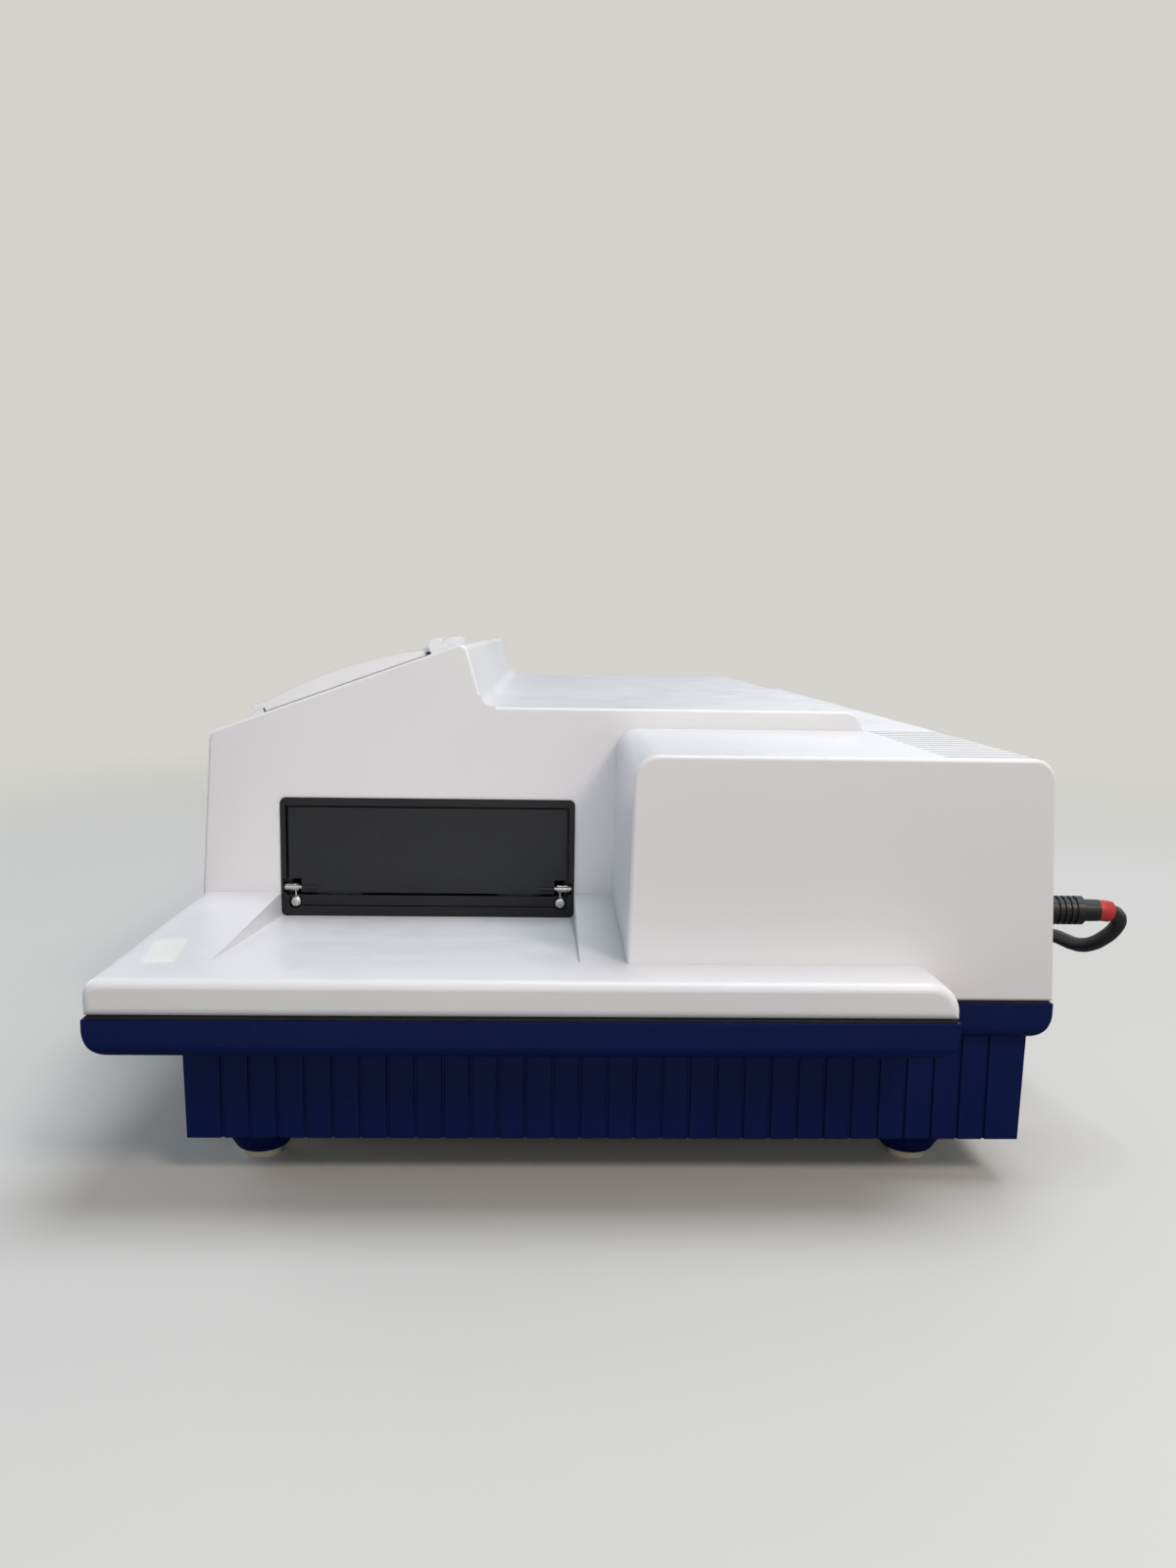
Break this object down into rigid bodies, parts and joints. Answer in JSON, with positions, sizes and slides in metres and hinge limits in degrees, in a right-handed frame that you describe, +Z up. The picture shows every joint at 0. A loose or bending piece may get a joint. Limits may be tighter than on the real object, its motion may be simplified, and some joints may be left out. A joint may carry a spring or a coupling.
{
  "type": "microplate reader",
  "caption": "Bench microplate reader with a moulded cover on a ribbed base, a motor-driven plate drawer behind a side flap, a lidded cuvette port and a sloped control panel.",
  "frame": {"origin": "on the table under the middle of the body: halfway along its length and its depth, without the free cord", "axes": "+X towards the plate drawer's side, -Y the front with the sloped panel, +Z up"},
  "size_m": [0.58, 0.4873, 0.2221],
  "materials": {
    "cover": "satin moulded plastic",
    "base": "satin navy plastic",
    "seam": "matt",
    "pad": "matt beige",
    "screw": "bright plated",
    "chassis": "brushed",
    "steel": "ground",
    "spring": "bright",
    "bearing": "anodised",
    "pulley": "turned",
    "frame": "fine grained",
    "flap": "satin",
    "motor": "black",
    "belt": "matt",
    "housing": "black anodised",
    "fibre": "sheathed",
    "head": "matt black",
    "board": "circuit board",
    "fan": "satin",
    "socket_black": "gloss",
    "socket_metal": "nickel plated",
    "overlay": "printed film",
    "display": "display window",
    "holder": "matt black",
    "carriage": "matt",
    "wheel": "black anodised",
    "filter_glass": "coloured glass",
    "grating": "ruled mirror",
    "key": "soft",
    "plug": "satin black",
    "ring": "red marker ring",
    "cord": "matt black-brown"
  },
  "bodies": {
    "instrument": {"top_cover": "cover", "cuvette_collar": "cover", "lid_hinge_bracket": "cover", "base_pan": "base", "base_feet": "base", "seam_gasket": "seam", "foot_pads": "pad", "cover_screws": "screw", "door_screws": "screw", "chassis_plate": "chassis", "optics_bench": "chassis", "rear_panel": "chassis", "power_supply": "chassis", "support_pillars": "steel", "rail_shafts": "steel", "door_hinge_pins": "steel", "door_springs": "spring", "rail_supports": "bearing", "idler_bracket": "bearing", "door_frame": "frame", "drive_motor": "motor", "filter_wheel_motor": "motor", "timing_belt": "belt", "lamp_module": "housing", "excitation_monochromator": "housing", "emission_monochromator": "housing", "detector_tube": "housing", "fibre_bundle": "fibre", "read_head": "head", "main_board": "board", "keypad_board": "board", "fan_frame": "fan", "mains_inlet": "socket_black", "data_sockets": "socket_metal", "signal_socket": "socket_metal", "panel_overlay": "overlay", "display_module": "display", "cuvette_holder": "holder", "signal_plug": "plug", "far_plug": "plug", "plug_ring": "ring", "cord_tube": "cord", "cord_coil": "cord"},
    "drawer": {"plate_carriage": "carriage", "carriage_bearings": "bearing", "belt_clamp": "bearing"},
    "flap": {"door_flap": "flap"},
    "drive_pulley": {"drive_pulley": "pulley"},
    "idler_pulley": {"idler_pulley": "pulley"},
    "fan_rotor": {"fan_rotor": "fan"},
    "filter_wheel": {"filter_wheel": "wheel", "cutoff_filters": "filter_glass"},
    "excitation_grating": {"excitation_grating": "grating"},
    "emission_grating": {"emission_grating": "grating"},
    "power_rocker": {"power_rocker": "socket_black"},
    "cuvette_lid": {"cuvette_lid": "cover"},
    "key_1": {"key_1": "key"},
    "key_2": {"key_2": "key"},
    "key_3": {"key_3": "key"},
    "key_4": {"key_4": "key"}
  },
  "joints": [
    {"name": "drawer_slide", "type": "slide", "parent": "instrument", "child": "drawer", "axis": [1, 0, 0], "range_m": [0, 0.28]},
    {"name": "flap_hinge", "type": "hinge", "parent": "instrument", "child": "flap", "pos_m": [0.1367, -0.0755, 0.0971], "axis": [0, 1, 0], "range_deg": [0, 101.2]},
    {"name": "drive_pulley_turn", "type": "hinge", "parent": "instrument", "child": "drive_pulley", "pos_m": [-0.232, -0.0755, 0.0885], "axis": [0, 0, -1], "range_deg": [0, 1790]},
    {"name": "idler_pulley_turn", "type": "hinge", "parent": "instrument", "child": "idler_pulley", "pos_m": [0.112, -0.0755, 0.0885], "axis": [0, 0, -1], "range_deg": [0, 1790]},
    {"name": "fan_turn", "type": "hinge", "parent": "instrument", "child": "fan_rotor", "pos_m": [0.005, 0.172, 0.1242], "axis": [0, 1, 0], "continuous": true},
    {"name": "filter_wheel_turn", "type": "hinge", "parent": "instrument", "child": "filter_wheel", "pos_m": [0.136, 0.091, 0.14], "axis": [1, 0, 0], "continuous": true},
    {"name": "excitation_grating_turn", "type": "hinge", "parent": "instrument", "child": "excitation_grating", "pos_m": [0.057, 0.091, 0.16], "axis": [0, 0, 1], "range_deg": [-25, 25]},
    {"name": "emission_grating_turn", "type": "hinge", "parent": "instrument", "child": "emission_grating", "pos_m": [-0.143, 0.091, 0.16], "axis": [0, 0, 1], "range_deg": [-25, 25]},
    {"name": "power_rocker_turn", "type": "hinge", "parent": "instrument", "child": "power_rocker", "pos_m": [-0.181, 0.1815, 0.1242], "axis": [-1, 0, 0], "range_deg": [0, 16]},
    {"name": "cuvette_lid_hinge", "type": "hinge", "parent": "instrument", "child": "cuvette_lid", "pos_m": [0.08, -0.07464, 0.21831], "axis": [-1, 0, 0], "range_deg": [0, 100]},
    {"name": "key_1_press", "type": "slide", "parent": "instrument", "child": "key_1", "axis": [0, 0.3407, -0.9402], "range_m": [0, 0.0006], "stiffness_N_per_m": 900, "springref_m": -0.0004},
    {"name": "key_2_press", "type": "slide", "parent": "instrument", "child": "key_2", "axis": [0, 0.3407, -0.9402], "range_m": [0, 0.0006], "stiffness_N_per_m": 900, "springref_m": -0.0004},
    {"name": "key_3_press", "type": "slide", "parent": "instrument", "child": "key_3", "axis": [0, 0.3407, -0.9402], "range_m": [0, 0.0006], "stiffness_N_per_m": 900, "springref_m": -0.0004},
    {"name": "key_4_press", "type": "slide", "parent": "instrument", "child": "key_4", "axis": [0, 0.3407, -0.9402], "range_m": [0, 0.0006], "stiffness_N_per_m": 900, "springref_m": -0.0004}
  ],
  "couplings": [
    {"joint": "flap_hinge", "follows": "drawer_slide", "rad_per_m": 6.2957},
    {"joint": "drive_pulley_turn", "follows": "drawer_slide", "rad_per_m": 110.5},
    {"joint": "idler_pulley_turn", "follows": "drawer_slide", "rad_per_m": 110.5}
  ]
}
